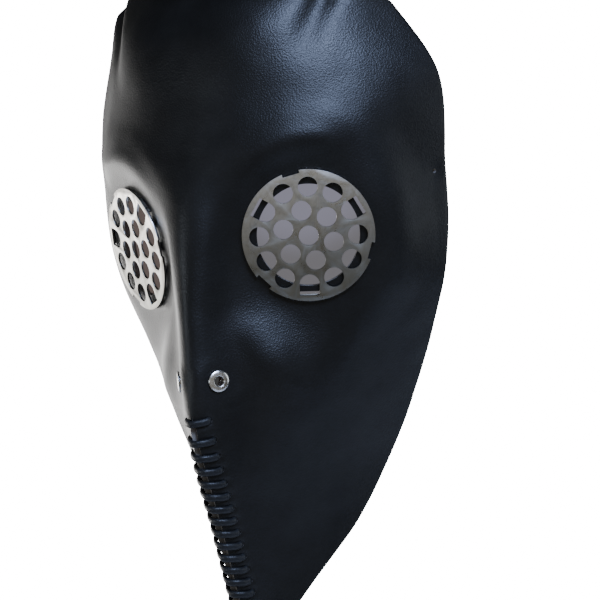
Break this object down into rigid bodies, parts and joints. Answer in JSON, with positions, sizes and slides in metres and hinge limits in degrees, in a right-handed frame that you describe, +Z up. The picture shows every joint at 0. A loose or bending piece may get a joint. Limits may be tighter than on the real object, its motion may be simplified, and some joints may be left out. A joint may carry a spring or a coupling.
{
  "type": "plague doctor mask",
  "caption": "Moulded leather beaked face mask with perforated round eye grilles, nostril eyelets and a whip-stitched beak seam.",
  "frame": {"origin": "on the mid-plane, level with and between the two tie holes at the temples", "axes": "+Z up towards the forehead, the face looks along -Y, +X is the wearer's left"},
  "size_m": [0.163, 0.0983, 0.2663],
  "materials": {
    "hide": "black satin grain leather, raw brown-grey cut edges",
    "thong": "black leather thong",
    "grille_steel": "satin stainless steel with smudges",
    "nickel": "nickel plate"
  },
  "bodies": {
    "root": {"leather_shell": "hide", "beak_lacing": "thong", "eye_grille_left": "grille_steel", "eye_grille_right": "grille_steel", "nostril_eyelet_left": "nickel", "nostril_eyelet_right": "nickel", "eyelet_washer_left": "nickel", "eyelet_washer_right": "nickel"}
  },
  "joints": []
}
